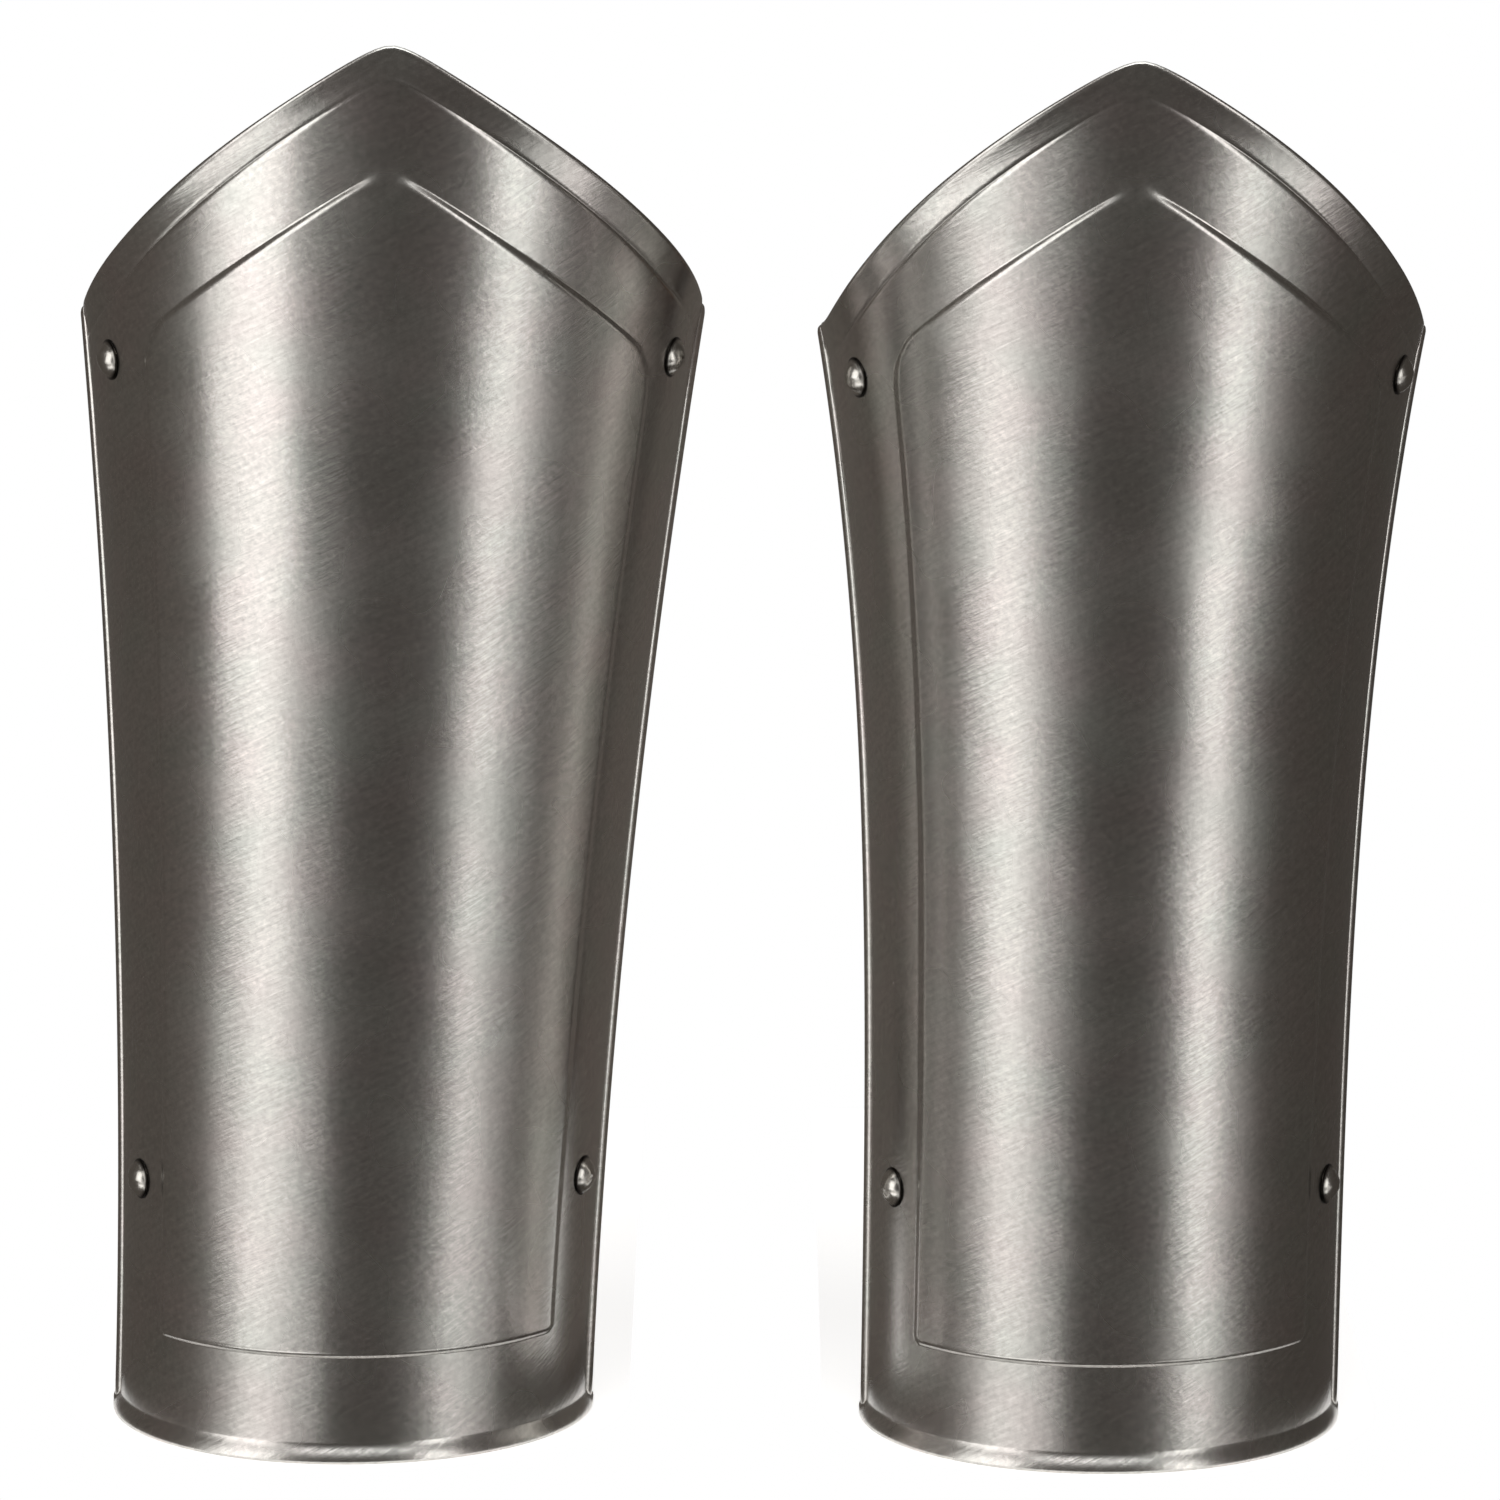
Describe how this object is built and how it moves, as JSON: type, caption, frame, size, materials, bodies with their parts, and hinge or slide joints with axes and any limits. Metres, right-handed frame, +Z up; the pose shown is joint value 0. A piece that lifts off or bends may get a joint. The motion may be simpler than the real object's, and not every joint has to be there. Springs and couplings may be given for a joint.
{
  "type": "pair of plate greaves",
  "caption": "Pair of plate steel greaves with a gabled top, an embossed panel and dome rivets, closed behind the leg by buckled leather straps.",
  "frame": {"origin": "centre of the pair's box in plan, at the level of the foot edges it stands on", "axes": "+Z up, both shins face -Y, +X from the left greave to the right one as seen from the front"},
  "size_m": [0.3397, 0.1416, 0.3599],
  "materials": {
    "plate_steel": "brushed",
    "rivet_steel": "satin",
    "buckle_steel": "satin",
    "strap_leather": "oiled"
  },
  "bodies": {
    "left_greave": {"left_plate": "plate_steel", "left_rivets": "rivet_steel", "left_burrs": "rivet_steel", "left_upper_strap": "strap_leather", "left_upper_chape": "strap_leather", "left_upper_chape_rivets": "rivet_steel", "left_lower_strap": "strap_leather", "left_lower_chape": "strap_leather", "left_lower_chape_rivets": "rivet_steel"},
    "left_upper_buckle": {"left_upper_buckle": "buckle_steel"},
    "left_upper_tongue": {"left_upper_tongue": "buckle_steel"},
    "left_upper_keeper": {"left_upper_keeper": "strap_leather"},
    "left_lower_buckle": {"left_lower_buckle": "buckle_steel"},
    "left_lower_tongue": {"left_lower_tongue": "buckle_steel"},
    "left_lower_keeper": {"left_lower_keeper": "strap_leather"},
    "right_greave": {"right_plate": "plate_steel", "right_rivets": "rivet_steel", "right_burrs": "rivet_steel", "right_upper_strap": "strap_leather", "right_upper_chape": "strap_leather", "right_upper_chape_rivets": "rivet_steel", "right_lower_strap": "strap_leather", "right_lower_chape": "strap_leather", "right_lower_chape_rivets": "rivet_steel"},
    "right_upper_buckle": {"right_upper_buckle": "buckle_steel"},
    "right_upper_tongue": {"right_upper_tongue": "buckle_steel"},
    "right_upper_keeper": {"right_upper_keeper": "strap_leather"},
    "right_lower_buckle": {"right_lower_buckle": "buckle_steel"},
    "right_lower_tongue": {"right_lower_tongue": "buckle_steel"},
    "right_lower_keeper": {"right_lower_keeper": "strap_leather"}
  },
  "joints": [
    {"name": "right_greave_slide", "type": "slide", "parent": "left_greave", "child": "right_greave", "axis": [1, 0, 0], "range_m": [-0.015, 0.1]},
    {"name": "left_upper_buckle_rock", "type": "hinge", "parent": "left_greave", "child": "left_upper_buckle", "pos_m": [-0.08633, 0.06221, 0.2755], "axis": [0, 0, 1], "range_deg": [0, 10]},
    {"name": "left_upper_tongue_lift", "type": "hinge", "parent": "left_upper_buckle", "child": "left_upper_tongue", "pos_m": [-0.08633, 0.06221, 0.2755], "axis": [0, 0, 1], "range_deg": [0, 22]},
    {"name": "left_upper_keeper_slide", "type": "slide", "parent": "left_greave", "child": "left_upper_keeper", "axis": [1, 0, 0], "range_m": [-0.008, 0.0035]},
    {"name": "left_lower_buckle_rock", "type": "hinge", "parent": "left_greave", "child": "left_lower_buckle", "pos_m": [-0.09515, 0.0534, 0.0655], "axis": [0, 0, 1], "range_deg": [0, 10]},
    {"name": "left_lower_tongue_lift", "type": "hinge", "parent": "left_lower_buckle", "child": "left_lower_tongue", "pos_m": [-0.09515, 0.0534, 0.0655], "axis": [0, 0, 1], "range_deg": [0, 22]},
    {"name": "left_lower_keeper_slide", "type": "slide", "parent": "left_greave", "child": "left_lower_keeper", "axis": [1, 0, 0], "range_m": [-0.008, 0.0035]},
    {"name": "right_upper_buckle_rock", "type": "hinge", "parent": "right_greave", "child": "right_upper_buckle", "pos_m": [0.08853, 0.05136, 0.2725], "axis": [0, 0, -1], "range_deg": [0, 10]},
    {"name": "right_upper_tongue_lift", "type": "hinge", "parent": "right_upper_buckle", "child": "right_upper_tongue", "pos_m": [0.08853, 0.05136, 0.2725], "axis": [0, 0, -1], "range_deg": [0, 22]},
    {"name": "right_upper_keeper_slide", "type": "slide", "parent": "right_greave", "child": "right_upper_keeper", "axis": [-1, 0, 0], "range_m": [-0.008, 0.0035]},
    {"name": "right_lower_buckle_rock", "type": "hinge", "parent": "right_greave", "child": "right_lower_buckle", "pos_m": [0.08543, 0.04338, 0.0655], "axis": [0, 0, -1], "range_deg": [0, 10]},
    {"name": "right_lower_tongue_lift", "type": "hinge", "parent": "right_lower_buckle", "child": "right_lower_tongue", "pos_m": [0.08543, 0.04338, 0.0655], "axis": [0, 0, -1], "range_deg": [0, 22]},
    {"name": "right_lower_keeper_slide", "type": "slide", "parent": "right_greave", "child": "right_lower_keeper", "axis": [-1, 0, 0], "range_m": [-0.008, 0.0035]}
  ]
}
